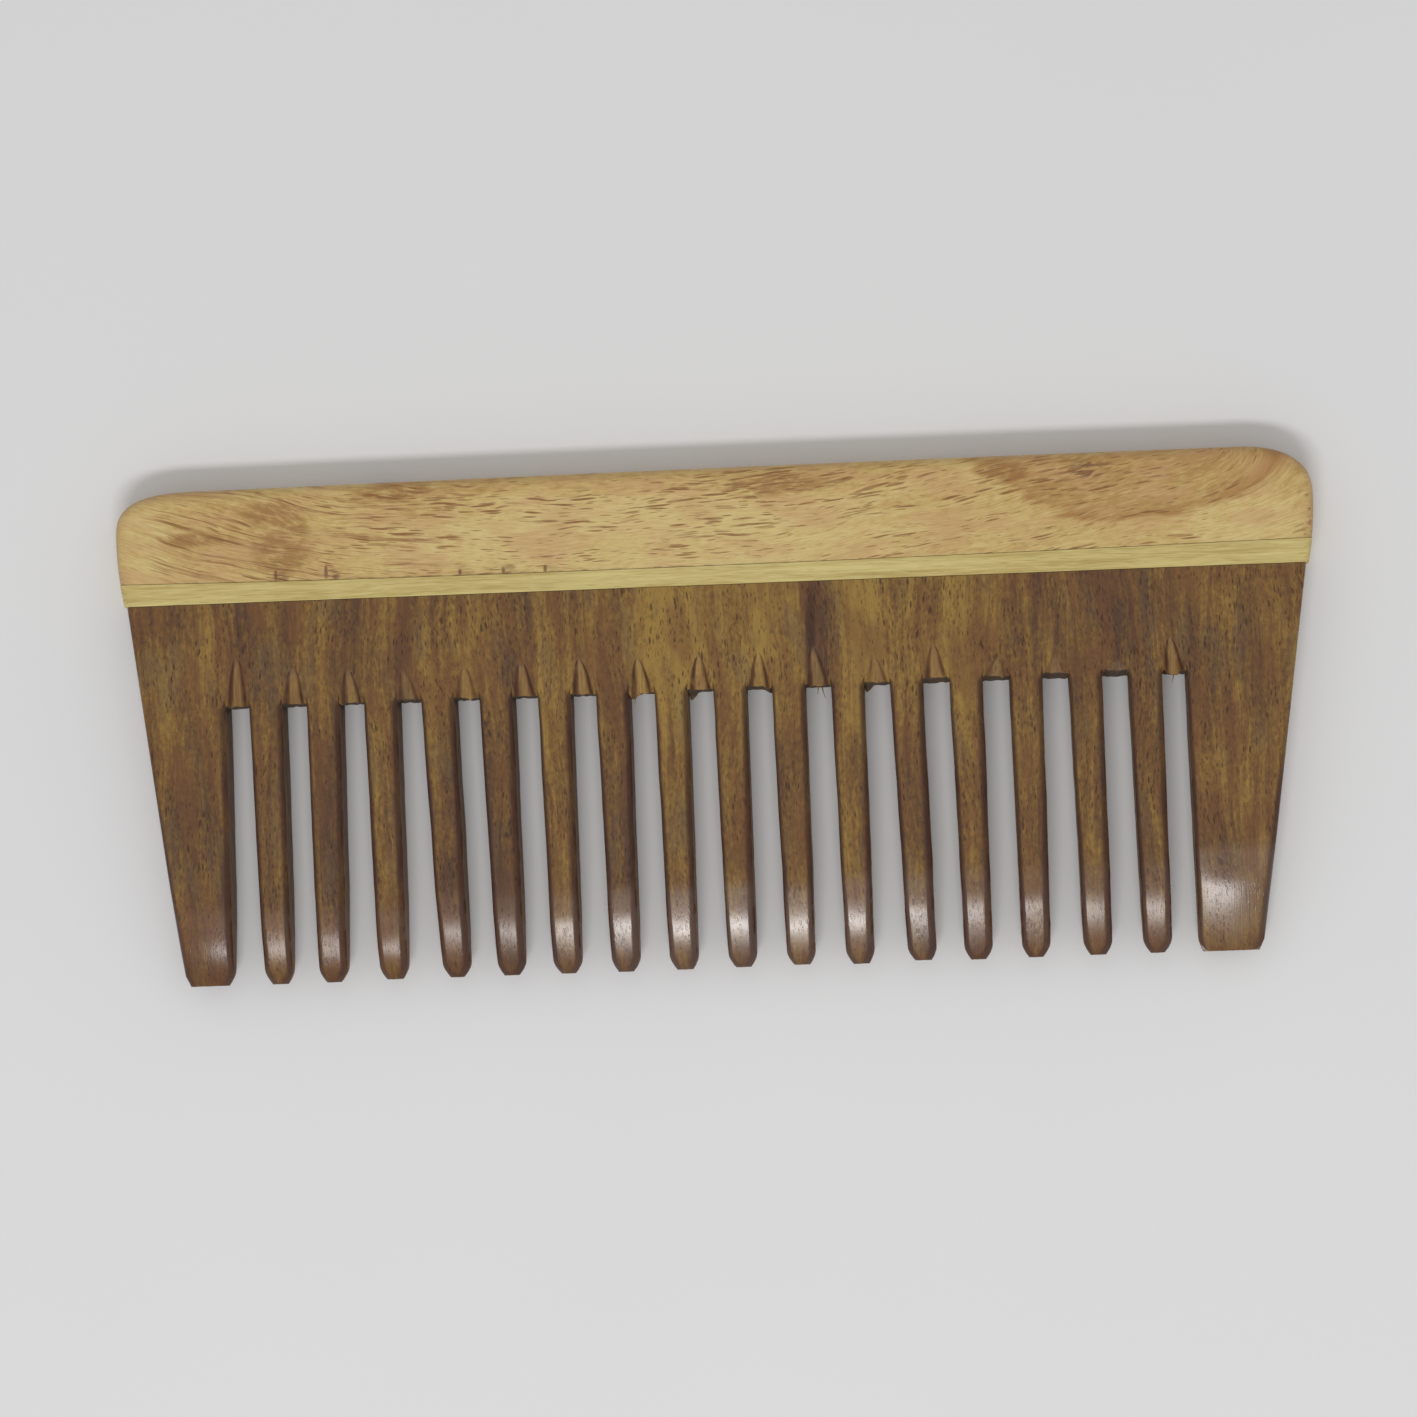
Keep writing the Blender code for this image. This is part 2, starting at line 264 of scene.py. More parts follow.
def add_piece(name, mesh, node, material):
    """Adds one piece that stands for a CAD node and moves with the comb."""
    piece = bpy.data.objects.new(name, mesh)
    bpy.context.scene.collection.objects.link(piece)
    mesh.materials.append(material)
    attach(piece, "root")
    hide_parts(node)
    return piece


def grid_quads(numbers):
    """Quads over a grid of point numbers, rows upward and columns along."""
    a, b = numbers[:-1, :-1], numbers[:-1, 1:]
    c, d = numbers[1:, 1:], numbers[1:, :-1]
    return np.stack([a.ravel(), b.ravel(), c.ravel(), d.ravel()], 1)


def rectangle_rim(numbers):
    """The rim of a grid, once round against the clock."""
    return np.concatenate([numbers[0, :-1], numbers[:-1, -1], numbers[-1, :0:-1], numbers[:0:-1, 0]])


# Distances of points near a rim, and the steps further in
NEAR_A_RIM = (0.0, 0.02, 0.08, 0.18, 0.33, 0.52, 0.76, 1.05, 1.4, 1.8, 2.3)
STEP_ALONG = 0.42


def spaced_from_ends(length, steps):
    """Distances along a length: fine ones near both ends, and even steps between."""
    near = np.array(NEAR_A_RIM)
    inner = length - 2 * near[-1]
    middle = near[-1] + inner * np.arange(1, steps) / steps
    return np.concatenate([near, middle, (length - near)[::-1]])


# ---------------------------------------------------------------- the back and the strip

def strip_top(x):
    """Height of the joint between the strip and the back."""
    left = x < STRIP_NARROWEST_X
    end_x = np.where(left, -HALF_LENGTH, HALF_LENGTH)
    end = np.where(left, STRIP_LEFT_END, STRIP_RIGHT_END)
    run = (x - STRIP_NARROWEST_X) / (end_x - STRIP_NARROWEST_X)
    return BLADE_JOINT + STRIP_NARROWEST + (end - STRIP_NARROWEST) * run * run


def top_edge(x):
    run = np.minimum(0.0, x - TOP_DROP_FROM) / TOP_DROP_SPAN
    return COMB_TOP - TOP_DROP * run * run


def end_of_back(up, corner):
    """Half length of the back at a height, round its corner included."""
    reach, rise, power = corner
    below = HALF_LENGTH - END_BOW * np.maximum(WIDEST_UP - up, 0.0) ** 2
    over = np.clip((up - WIDEST_UP) / rise, 0.0, 1.0)
    return below - reach * (1 - (1 - over ** power) ** (1 / power))


def spine_outline():
    """The free outline of the back as points: up one end, along the top and down the other."""
    turn = np.linspace(0, math.pi / 2, 160)
    ends = []
    for side, (reach, rise, power) in ((1, RIGHT_CORNER), (-1, LEFT_CORNER)):
        low = np.linspace(BLADE_JOINT, WIDEST_UP, 30)
        out = np.cos(turn) ** (2 / power)
        over = np.sin(turn) ** (2 / power)
        straight = np.stack([side * (HALF_LENGTH - END_BOW * (WIDEST_UP - low) ** 2), low], 1)
        curve = np.stack([side * (HALF_LENGTH - reach * (1 - out)), WIDEST_UP + rise * over], 1)
        ends.append(np.concatenate([straight, curve]))
    right, left = ends
    x = np.linspace(right[-1, 0], left[-1, 0], 120)
    top = np.stack([x, top_edge(x)], 1)
    return np.concatenate([right, top, left[::-1]])


def distance_to(path, x, up):
    """Distance in plan from each point to a path of straight steps."""
    nearest = np.full(x.shape, 1e9)
    for (ax, ay), (bx, by) in zip(path, path[1:]):
        dx, dy = bx - ax, by - ay
        size = dx * dx + dy * dy
        if size < 1e-12:
            continue
        share = np.clip(((x - ax) * dx + (up - ay) * dy) / size, 0.0, 1.0)
        gap = np.hypot(x - ax - share * dx, up - ay - share * dy)
        nearest = np.minimum(nearest, gap)
    return nearest


def long_layer_grid(low_line, high_line, from_top):
    """Rows along the comb between two lines, ending on the rounded ends of the back."""
    shares = 1 - np.array(from_top) / from_top[-1]
    steps = round(2 * (HALF_LENGTH - NEAR_A_RIM[-1]) / STEP_ALONG)
    xs, ups = [], []
    for share in shares[::-1]:
        def row(x):
            return low_line(x) + (high_line(x) - low_line(x)) * share
        # Each pass brings the row's ends nearer to the outline
        left, right = -HALF_LENGTH, HALF_LENGTH
        for _ in range(12):
            left = -end_of_back(row(np.float64(left)), LEFT_CORNER)
            right = end_of_back(row(np.float64(right)), RIGHT_CORNER)
        x = left + spaced_from_ends(right - left, steps)
        xs.append(x)
        ups.append(row(x))
    return np.array(xs), np.array(ups)


def hand_sanded(x, up, seed):
    """The slight unevenness of a face sanded by hand, always inwards."""
    slow = bumps(x / 14, up / 9, seed) * 0.02
    quick = bumps(x / 3.1, up / 2.3, seed + 1) * 0.006
    return 0.03 + slow + quick


def build_long_layer(name, low_line, high_line, from_top, radius, outline, node, material):
    """The back or the strip: a layer between two lines, rounded at the outline."""
    x, up = long_layer_grid(low_line, high_line, from_top)
    gap = distance_to(outline, x, up)
    drop = quarter_round(gap, radius)
    numbers = np.arange(x.size).reshape(x.shape)
    faces = []
    for side, seed in ((1, 11), (-1, 21)):
        z = side * (HALF_THICK - drop - hand_sanded(x, up, seed) * ease(gap))
        faces.append(np.stack([x.ravel(), up.ravel(), z.ravel()], 1))
    rim_wear = np.exp(-gap.ravel() / 0.7)
    mesh = closed_mesh(
        name, *faces, grid_quads(numbers), rectangle_rim(numbers), 0.0,
        {"worn": (rim_wear, rim_wear)},
    )
    add_piece(name, mesh, node, material)


# ---------------------------------------------------------------- the blade

def lean_shift(lean, up):
    return math.tan(math.radians(lean)) * (PITCH_LINE_UP - up)


def side_of_band(band, side, up):
    """X of the left (-1) or right (+1) side of a band of wood, from the tips to the joint."""
    toe, toe_up = GUARD_TOE
    chamfer, chamfer_up = TIP_CHAMFER
    if band == 0 and side < 0:
        return -BLADE_LEFT_FOOT - BLADE_LEFT_SPLAY * up + toe * np.clip(1 - up / toe_up, 0, 1)
    if band == LAST and side > 0:
        return BLADE_RIGHT_FOOT + BLADE_RIGHT_SPLAY * up - toe * np.clip(1 - up / toe_up, 0, 1)
    wobble = 0.04 * bumps(up / 6.5, band * 3.0 + side, 31)
    wobble = wobble + 0.02 * bumps(up / 2.1, band * 5.0 + side, 32)
    wobble = wobble * ease((ROOT_UP - up) / 4)
    nip = chamfer * (1 + 0.25 * bumps(band * 1.7, side * 2.3, 33))
    nip = nip * np.clip(1 - up / chamfer_up, 0, 1) ** 1.7
    if band == 0:
        return LEFT_GUARD_INNER + lean_shift(LEFT_GUARD_LEAN, up) + wobble - nip * 0.8
    if band == LAST:
        return RIGHT_GUARD_INNER + lean_shift(RIGHT_GUARD_LEAN, up) + wobble + nip * 0.8
    tooth = band - 1
    middle = FIRST_TOOTH_X + PITCH * tooth + PITCH_GROWTH * tooth * tooth
    width = TOOTH_AT_TIP + (TOOTH_AT_ROOT - TOOTH_AT_TIP) * up / ROOT_UP
    width = np.where(up > ROOT_UP, TOOTH_AT_ROOT, width)
    lean = ODD_LEANS.get(tooth, TOOTH_LEAN)
    return middle + lean_shift(lean, up) + side * (width / 2 - nip) + wobble


def edge_width(band, side, up):
    """Width of the chamfer filed along a band's side."""
    share = np.clip((EDGE_GROWS_BELOW - up) / EDGE_GROWS_BELOW, 0, 1)
    at_root, at_tip = RIGHT_EDGE if side > 0 else LEFT_EDGE
    own = 1 + 0.18 * bumps(band * 2.9 + side, up / 12, 41)
    width = (at_root + (at_tip - at_root) * share) * own
    return width * ease((ROOT_UP + 1.2 - up) / 1.8 + 0.1) + 0.02


def thinning(up, shine_up, reach, tip_slope):
    """How far a face has been filed away towards the tips."""
    bend = np.clip(shine_up + reach - up, 0, reach) / reach
    below = np.maximum(shine_up - up, 0)
    bent = SHINE_SLOPE * reach * bend ** 3 / 3
    return bent + SHINE_SLOPE * below + (tip_slope - SHINE_SLOPE) * below * below / (2 * shine_up)


def band_face(band, x, up, face):
    """Height of a band's face above the middle of the blade, how worn it is, and how much painted shade
    its filed edges get.
    """
    left, right = side_of_band(band, -1, up), side_of_band(band, 1, up)
    from_left, from_right = np.maximum(x - left, 0), np.maximum(right - x, 0)
    if face > 0:
        shine, seed = SHINE_UP[band], 51
    else:
        shine, seed = 5.4 + 0.8 * float(bumps(band * 1.3, 0.0, 52)), 61
    reach = float(np.clip(11 - 2 * (shine - 5), 7.5, 11))
    tip_fall = GUARD_TIP_FALLS[face < 0] if band == LAST else TIP_FALL
    left_to_file = tip_fall - SHINE_SLOPE * (shine + reach / 3)
    tip_slope = min(0.52, SHINE_SLOPE + 2 * left_to_file / shine)
    fallen = thinning(up, shine, reach, tip_slope) + 0.12 * ease((0.5 - up) / 0.5)
    height = HALF_THICK - fallen - hand_sanded(x, up, seed)
    height = height - 0.05 * bumps(x / 5 + band, up / 4, seed + 1) * ease((shine + 6 - up) / 5)
    room = np.maximum(height * 0.75, 0.05)
    drop = np.zeros(x.shape)
    if band == 0:
        drop = np.maximum(drop, quarter_round(from_left, BLADE_ROUND))
    else:
        drop = np.maximum(drop, filed_edge(from_left, edge_width(band, -1, up)))
    if band == LAST:
        drop = np.maximum(drop, quarter_round(from_right, BLADE_ROUND))
    else:
        drop = np.maximum(drop, filed_edge(from_right, edge_width(band, 1, up)))
    worn = ease((shine + 7 - up) / 6)
    near_left = ease(1.6 - from_left / (edge_width(band, -1, up) + 0.05))
    near_right = ease(1.6 - from_right / (edge_width(band, 1, up) + 0.10))
    if band == 0:
        near_left = near_left * ease((ROOT_UP - up) / 16)
    if band == LAST:
        near_right = near_right * ease((ROOT_UP - up) / 16)
    # Painted shade over the filed edges, and over the rounded outer edges of the guard teeth
    edge_shading = np.maximum(near_left, near_right)
    edge_shading = edge_shading * ease((ROOT_UP + 0.9 - up) / 1.2) * (0.9 + 0.15 * bumps(band * 3.7, up / 5, 44))
    crown = 0.025 * np.abs((from_left - from_right) / np.maximum(from_left + from_right, 1)) ** 3
    if band in (0, LAST):
        crown = GUARD_CROWN * (x - GUARD_CROWN_X[band > 0]) ** 2 * ease((15 - up) / 8)
    drop = drop + crown * ease((ROOT_UP - up) / 6)
    return face * (height - room * np.tanh(drop / room)), worn, np.clip(edge_shading, 0, 1)


# Where the columns stand over a filed or a rounded edge, as shares of its width
OVER_A_CHAMFER = np.array((0.0, 0.45, 0.85, 1.1, 1.35, 1.8))
OVER_A_ROUND = np.array((0.0, 0.05, 0.18, 0.36, 0.6, 0.9, 1.2))


def band_columns(band, up):
    """The x of each column of a band at one height: close together over its filed edges."""
    left, right = side_of_band(band, -1, up), side_of_band(band, 1, up)
    cells = 6 if 0 < band < LAST else 16
    near_left = OVER_A_CHAMFER * edge_width(band, -1, up)
    near_right = OVER_A_CHAMFER * edge_width(band, 1, up)
    if band == 0:
        near_left = OVER_A_ROUND * BLADE_ROUND
    if band == LAST:
        near_right = OVER_A_ROUND * BLADE_ROUND
    near_left = near_left + np.linspace(0, 0.25, len(near_left)) * ease((up - ROOT_UP + 1) / 2)
    near_right = near_right + np.linspace(0, 0.25, len(near_right)) * ease((up - ROOT_UP + 1) / 2)
    start, stop = left + near_left[-1], right - near_right[-1]
    middle = np.linspace(start, stop, cells + 1)[1:-1]
    return np.concatenate([left + near_left, middle, (right - near_right)[::-1]])


# Where the columns stand over a file mark, as shares of its half width
INNER_COLUMNS = np.array((-1.0, -0.88, -0.77, -0.64, -0.5, -0.3, 0.0, 0.3, 0.5, 0.64, 0.77, 0.88, 1.0))


def file_mark(slot, up):
    """Middle and half width of the file mark above a slot, at one height."""
    length, offset, _, power, _ = FILE_MARKS[slot]
    left, right = side_of_band(slot, 1, up), side_of_band(slot + 1, -1, up)
    share = (up - ROOT_UP) / length
    half = (right - left) / 2
    width = 0.95 * half * max(1 - share, 0.0) ** power
    opening = float(ease((share - 1) * length / 4))
    width = max(width, 0.14 + (0.55 * half - 0.14) * opening)
    bend = offset * min(max(share, 0.0), 1.0) * (1 - opening)
    wander = 0.06 * float(bumps(up / 1.3, slot * 3.1, 71)) * min(1.0, share * 3)
    return (left + right) / 2 + bend + wander, min(width, 0.95 * half)


def slot_columns(slot, up):
    """The x of each column above a slot; they follow the sides of the file mark."""
    left, right = side_of_band(slot, 1, up), side_of_band(slot + 1, -1, up)
    middle, half = file_mark(slot, up)
    inner = middle + INNER_COLUMNS * half
    outer_left = left + (inner[0] - left) * np.array((1, 2)) / 3
    outer_right = inner[-1] + (right - inner[-1]) * np.array((1, 2)) / 3
    return np.concatenate([outer_left, inner, outer_right])


def slot_face(slot, x, up, face):
    """Height of the face above a slot, with its file mark, and the mark's floor and sides: the floor
    lighter as raw wood and partly as painted light, the sides darker wood and partly painted shade.
    """
    length, _, depth, _, stain = FILE_MARKS[slot]
    seed = 51 if face > 0 else 61
    middle, half = np.vectorize(lambda height: file_mark(slot, height))(up)
    across = (x - middle) / half
    share = np.clip((up - ROOT_UP) / length, 0, 1)
    side = np.where(across < 0, 0.68, 0.62)
    floor = ease((1 - np.abs(across)) / side)
    fade = (1 - share) ** 0.8 * (share < 1)
    grooves = 1 + 0.16 * bumps(x / 0.33, up / 4.5, 72 + slot)
    rise = 1 - 0.22 * np.exp(-(across / 0.3) ** 2)
    sunk = depth * fade * floor * grooves * rise
    height = HALF_THICK - hand_sanded(x, up, seed) - sunk
    # The floor's lighter raw wood, partly painted light on its ramp, and the sides' darker wood, partly
    # painted shade on their steep slopes
    here = ease((1.02 - share) / 0.1) * stain
    flank_stain_and_shade = ease(4.5 * np.minimum(floor, 1 - floor)) * here
    flank_stain_and_shade = flank_stain_and_shade * (0.9 + 0.3 * bumps(across * 1.5 + slot * 5, up / 1.1, 75))
    return face * height, floor * here * ease((1 - share) / 0.25), np.clip(flank_stain_and_shade, 0, 1)


def root_shift(slot, across, face):
    """How far the end of a slot lies above its nominal height, across the slot."""
    shift = 0.09 * bumps(across * 4 + slot * 7, face * 3.3, 81)
    shift = shift + 0.05 * bumps(across * 9 + slot * 5, face, 82)
    if face > 0:
        shift = shift + ROOT_SLANT[slot] + 0.12 * ease((-across - 0.3) / 0.5)
        for place, where, width, length in HANGING_FIBRES:
            if place == slot:
                shift = shift - (length + 0.1) * np.exp(-(((across - where) / width) ** 2))
    else:
        for place, side, length in CORNER_CHIPS:
            if place == slot:
                shift = shift - length * ease((across * side - 0.15) / 0.75)
    return shift * ease((1 - np.abs(across)) / 0.12 + 0.25)


def tooth_rows():
    tip = [0.0, 0.12, 0.3, 0.55, 0.85, 1.15, 1.32, 1.6]
    low = list(np.arange(2.0, 16.1, 0.55))
    high = list(np.arange(16.8, ROOT_UP - 1.2, 0.85))
    return np.array(tip + low + high + [ROOT_UP - 1.0, ROOT_UP - 0.55, ROOT_UP - 0.25, ROOT_UP])


def bar_rows():
    near = list(ROOT_UP + np.arange(0.22, 6.3, 0.25))
    top = BLADE_JOINT - JOINT_LINE
    far = list(np.linspace(near[-1], top - 0.3, 9)[1:])
    return np.array([ROOT_UP] + near + far + [top - 0.1, top])


def tip_shift(band, rows):
    """Teeth aren't all filed to quite the same length."""
    short = 0.12 + 0.1 * float(bumps(band * 1.9, 0.0, 91))
    return short * ease((3.0 - rows) / 3.0)


def blade_face(face):
    """One face of the blade: its points, its marks, its quads and its rim, once round."""
    low_rows, high_rows = tooth_rows(), bar_rows()
    points, marks = [], {"worn": [], "edge_shade": [], "cut_raw_and_lit": [], "flank_stain_and_shade": []}
    lower, upper = [], []
    total = 0

    def keep(x, up, z, worn, edge_shade, cut_raw_and_lit, flank_stain_and_shade):
        nonlocal total
        points.append(np.stack([x.ravel(), up.ravel(), z.ravel()], 1))
        for mark, values in (("worn", worn), ("edge_shade", edge_shade), ("cut_raw_and_lit", cut_raw_and_lit), ("flank_stain_and_shade", flank_stain_and_shade)):
            marks[mark].append(np.broadcast_to(values, x.shape).ravel())
        numbers = total + np.arange(x.size).reshape(x.shape)
        total += x.size
        return numbers

    for band in range(LAST + 1):
        rows = np.concatenate([low_rows, high_rows[1:]])
        shifted = rows + tip_shift(band, rows)
        x = np.array([band_columns(band, up) for up in shifted])
        up = np.repeat(shifted[:, None], x.shape[1], 1)
        z, worn, edge_shade = band_face(band, x, up, face)
        numbers = keep(x, up, z, worn, edge_shade, 0.0, 0.0)
        lower.append(numbers[:len(low_rows)])
        upper.append(numbers[len(low_rows) - 1:])
        if band == LAST:
            break
        x = np.array([slot_columns(band, up) for up in high_rows])
        up = np.repeat(high_rows[:, None], x.shape[1], 1)
        z, cut_raw_and_lit, flank_stain_and_shade = slot_face(band, x, up, face)
        left, right = side_of_band(band, 1, ROOT_UP), side_of_band(band + 1, -1, ROOT_UP)
        across = (x - (left + right) / 2) / ((right - left) / 2)
        fade = np.clip(1 - (up - ROOT_UP) / 2.4, 0, 1) ** 2
        up = up + root_shift(band, across[:1], face) * fade
        upper.append(keep(x, up, z, 0.0, 0.0, cut_raw_and_lit, flank_stain_and_shade))

    quads = [grid_quads(numbers) for numbers in lower]
    quads += [grid_quads(np.concatenate(upper, axis=1))]
    rim = []
    for band in range(LAST + 1):
        numbers = lower[band]
        if band > 0:
            rim.extend(numbers[:0:-1, 0])
        rim.extend(numbers[0, :-1])
        rim.extend(numbers[:-1, -1])
        if band < LAST:
            rim.append(numbers[-1, -1])
            rim.extend(upper[2 * band + 1][0])
    high = np.concatenate(upper, axis=1)
    rim.extend(high[:-1, -1])
    rim.extend(high[-1, :0:-1])
    rim.extend(high[:0:-1, 0])
    rim.extend(lower[0][:0:-1, 0])
    marks = {mark: np.concatenate(values) for mark, values in marks.items()}
    return np.concatenate(points), marks, np.concatenate(quads), np.array(rim)


def splinter(slot, across, length, bend):
    """A loose tapered fibre hanging in a slot, as points and faces."""
    left, right = side_of_band(slot, 1, ROOT_UP), side_of_band(slot + 1, -1, ROOT_UP)
    x0 = (left + right) / 2 + across * (right - left) / 2
    rings, sides = 9, 6
    points = []
    for step in np.linspace(0, 1, rings):
        radius = 0.11 * (1 - step) ** 0.7 + 0.008
        x, up, z = x0 + bend * step * step, ROOT_UP + 0.7 - (length + 0.7) * step, 2.2 + 0.5 * step
        for turn in np.arange(sides) * 2 * math.pi / sides:
            points.append((x + radius * math.cos(turn), up, z + 0.7 * radius * math.sin(turn)))
    faces = []
    for ring in range(rings - 1):
        for side in range(sides):
            a, b = ring * sides + side, ring * sides + (side + 1) % sides
            faces.append((a, b, b + sides, a + sides))
    faces.append(tuple(range(sides))[::-1])
    faces.append(tuple(range((rings - 1) * sides, rings * sides)))
    return np.array(points), faces


def add_splinters(piece):
    """Joins the loose fibres to the blade's mesh."""
    parts = [piece]
    for number, (slot, across, length, bend) in enumerate(SPLINTERS):
        points, faces = splinter(slot, across, length, bend)
        mesh = bpy.data.meshes.new(f"splinter_{number}")
        mesh.from_pydata(in_comb_frame(points).tolist(), [], faces)
        mesh.shade_smooth()
        save_mark(mesh, "cut_raw_and_lit", np.ones(len(points)))
        mesh.materials.append(piece.data.materials[0])
        obj = bpy.data.objects.new(mesh.name, mesh)
        bpy.context.scene.collection.objects.link(obj)
        parts.append(obj)
    with bpy.context.temp_override(active_object=piece, selected_editable_objects=parts, object=piece):
        bpy.ops.object.join()


def build_blade(material):
    front, front_marks, quads, rim = blade_face(1)
    back, back_marks, _, _ = blade_face(-1)
    marks = {mark: (front_marks[mark], back_marks[mark]) for mark in front_marks}
    free = front[rim, 1] < BLADE_JOINT - 0.3
    mesh = closed_mesh("tooth_blade_wood", front, back, quads, rim, 0.05 * free, marks)
    piece = add_piece("tooth_blade_wood", mesh, "tooth_blade", material)
    add_splinters(piece)


# ---------------------------------------------------------------- materials

# The first and last stops of the tones along the comb stand this far from its middle
RAMP_HALF = 76.0


class Value:
    """What a shader node puts out. Its + - and * make more nodes."""

    def __init__(self, nodes, socket):
        self.nodes = nodes
        self.socket = socket

    def __add__(self, other):
        return self.nodes.sum("ADD", self, other)

    def __sub__(self, other):
        return self.nodes.sum("SUBTRACT", self, other)

    def __rsub__(self, other):
        return self.nodes.sum("SUBTRACT", other, self)

    def __mul__(self, other):
        return self.nodes.sum("MULTIPLY", self, other)


class Nodes:
    """Short names for the shader nodes that the woods are made of."""

    def __init__(self, name):
        self.material = bpy.data.materials.new(name)
        self.material.use_nodes = True
        self.tree = self.material.node_tree
        self.shader = self.tree.nodes["Principled BSDF"]

    def put(self, value, socket):
        if isinstance(value, Value):
            self.tree.links.new(value.socket, socket)
        elif socket.type == "RGBA":
            socket.default_value = (*value, 1.0)
        else:
            socket.default_value = value

    def node(self, kind, inputs, output=0, **settings):
        """A new node with these inputs and settings, as the value that it puts out."""
        made = self.tree.nodes.new(kind)
        for key, value in settings.items():
            setattr(made, key, value)
        for key, value in inputs.items():
            self.put(value, made.inputs[key])
        return Value(self, made.outputs[output])

    def sum(self, operation, a, b=0.0):
        return self.node("ShaderNodeMath", {0: a, 1: b}, operation=operation)

    def most(self, a, b):
        return self.sum("MAXIMUM", a, b)

    def root(self, a):
        return self.sum("SQRT", a)

    def size(self, a):
        return self.sum("ABSOLUTE", a)

    def where(self):
        """Object position in millimetres, as x, y and z."""
        place = self.node("ShaderNodeTexCoord", {}, "Object")
        return [self.node("ShaderNodeSeparateXYZ", {0: place}, axis) * 1000.0 for axis in range(3)]

    def point(self, x, y, z):
        return self.node("ShaderNodeCombineXYZ", {0: x, 1: y, 2: z})

    def noise(self, x, y, z, detail=2.0, roughness=0.5):
        inputs = {"Vector": self.point(x, y, z), "Scale": 1.0, "Detail": detail, "Roughness": roughness}
        return self.node("ShaderNodeTexNoise", inputs, "Fac")

    def cells(self, x, y, z):
        """Distance to the nearest of some scattered points."""
        inputs = {"Vector": self.point(x, y, z), "Scale": 1.0, "Randomness": 1.0}
        return self.node("ShaderNodeTexVoronoi", inputs, "Distance", feature="F1")

    def span(self, value, low, high, to_low=0.0, to_high=1.0):
        """Goes smoothly from one level to another while the value goes from low to high."""
        inputs = {"Value": value, 1: low, 2: high, 3: to_low, 4: to_high}
        return self.node("ShaderNodeMapRange", inputs, interpolation_type="SMOOTHSTEP")

    def share(self, value, low, high):
        """A value as its share of the way from low to high."""
        return self.node("ShaderNodeMapRange", {"Value": value, 1: low, 2: high, 3: 0.0, 4: 1.0})

    def blend(self, share, a, b):
        """The value a where share is 0, and b where it is 1."""
        return (1.0 - share) * a + share * b

    def mark(self, name):
        return self.node("ShaderNodeAttribute", {}, "Fac", attribute_name=name)

    def mix(self, share, a, b):
        """The colour a where share is 0, and b where it is 1."""
        return self.node("ShaderNodeMix", {0: share, 6: a, 7: b}, 2, data_type="RGBA")

    def ramp(self, value, stops):
        """A value or colour looked up between stops of (place, colour)."""
        made = self.node("ShaderNodeValToRGB", {0: value})
        elements = made.socket.node.color_ramp.elements
        while len(elements) < len(stops):
            elements.new(0.5)
        for element, (place, colour) in zip(elements, stops):
            element.position = place
            element.color = (*colour, 1.0)
        return made

    def along_comb(self, x, stops):
        """A value looked up along the comb between stops of (x, value)."""
        places = [((at + RAMP_HALF) / (2 * RAMP_HALF), 3 * (value,)) for at, value in stops]
        return self.ramp(self.share(x, -RAMP_HALF, RAMP_HALF), places)

    def blob(self, x, y, middle_x, middle_y, half_x, half_y):
        """A soft oval patch, 1 in its middle and 0 outside it."""
        across = (x - middle_x) * (1 / half_x)
        over = (y - middle_y) * (1 / half_y)
        return self.span(across * across + over * over, 1.0, 0.1)

    def finish(self, colour, roughness, height, depth_mm, gloss):
        self.put(colour, self.shader.inputs["Base Color"])
        self.put(roughness, self.shader.inputs["Roughness"])
        self.put(gloss, self.shader.inputs["Specular IOR Level"])
        inputs = {"Height": height, "Distance": depth_mm * MM, "Strength": 1.0}
        bump = self.node("ShaderNodeBump", inputs)
        self.put(bump, self.shader.inputs["Normal"])
        return self.material


# Linear colours of the woods: the back, the strip, the blade, and the blade where it was worked, which
# includes painted light and shade
TAN = (0.600, 0.430, 0.162)
TAN_LIGHT = (0.690, 0.540, 0.232)
TAN_DEEP = (0.430, 0.248, 0.082)
TAN_PINK = (0.580, 0.345, 0.165)
TAN_VESSEL = (0.225, 0.078, 0.026)
EYE_RIM = (0.340, 0.150, 0.045)
BLOTCH = (0.310, 0.140, 0.045)
KNOT = (0.130, 0.055, 0.040)
JOINT_TICK = (0.130, 0.045, 0.025)
JOINT_SHADE = (0.160, 0.075, 0.035)
HANDLED = (0.360, 0.190, 0.090)

STRAW = (0.675, 0.565, 0.230)
STRAW_LIGHT = (0.700, 0.600, 0.270)
STRAW_DEEP = (0.470, 0.350, 0.115)
STRAW_VESSEL = (0.400, 0.250, 0.070)
STRAW_WORN = (0.470, 0.300, 0.120)

GOLD = (0.335, 0.205, 0.050)
UMBER = (0.185, 0.096, 0.031)
PLUM = (0.100, 0.051, 0.029)
PORE = (0.038, 0.017, 0.012)
RED_CAST = (0.165, 0.072, 0.030)
GREY_CAST = (0.140, 0.095, 0.058)
DARK_STREAK = (0.035, 0.017, 0.012)

# The file marks: lighter raw wood, partly painted light, and their darker sides, partly painted shade
RAW_AND_LIT_DEEP = (0.240, 0.125, 0.036)
RAW_AND_LIT_LIGHT = (0.420, 0.260, 0.075)
MARK_SIDE_STAIN_AND_SHADE = (0.058, 0.019, 0.014)
RED_BROWN = (0.150, 0.060, 0.026)
# Painted shade on the steep faces at the very tips
TIP_SHADE = (0.070, 0.030, 0.018)
# Painted shade on the filed edges
EDGE_SHADE_PLUM = (0.058, 0.026, 0.020)
SAWN_DEEP = (0.170, 0.105, 0.065)
SAWN_LIGHT = (0.300, 0.200, 0.130)
# Painted shade on the end walls of the slots
SLOT_END_SHADE = (0.040, 0.026, 0.015)

